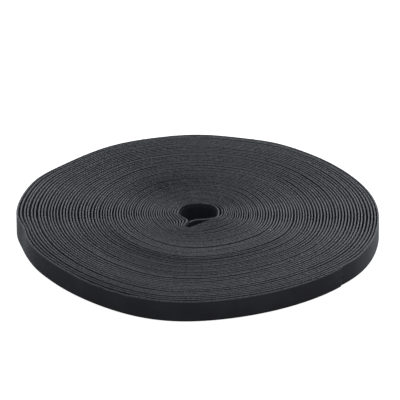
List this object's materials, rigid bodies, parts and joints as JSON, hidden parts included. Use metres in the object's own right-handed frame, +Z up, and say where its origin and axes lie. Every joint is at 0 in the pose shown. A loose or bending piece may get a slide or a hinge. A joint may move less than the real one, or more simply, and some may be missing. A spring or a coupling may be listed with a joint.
{
  "type": "hook and loop tape roll",
  "caption": "Flat coreless roll of narrow back to back hook and loop tape, wound edge up, with a free end outside and another across the core hole.",
  "frame": {"origin": "middle of the bounding box in plan, on the lower edge of the tape", "axes": "+Z up along the roll's axis, +X to the right of the picture, the camera looking along +Y"},
  "size_m": [0.2632, 0.2612, 0.016],
  "materials": {
    "loop_cloth": "matte black napped nylon loop cloth",
    "hook_cloth": "black woven nylon with cut hooks, slight sheen"
  },
  "bodies": {
    "roll": {"loop_layer_winding": "loop_cloth", "hook_layer_winding": "hook_cloth"},
    "outer_end": {"outer_end_loop_layer": "loop_cloth", "outer_end_hook_layer": "hook_cloth"},
    "inner_end": {"inner_end_loop_layer": "loop_cloth", "inner_end_hook_layer": "hook_cloth"}
  },
  "joints": [
    {"name": "outer_end_peel", "type": "hinge", "parent": "roll", "child": "outer_end", "pos_m": [0.06218, -0.11266, 0.008], "axis": [0, 0, -1], "range_deg": [0, 80]},
    {"name": "inner_end_swing", "type": "hinge", "parent": "roll", "child": "inner_end", "pos_m": [0.01545, -0.00512, 0.008], "axis": [0, 0, -1], "range_deg": [0, 60]}
  ]
}
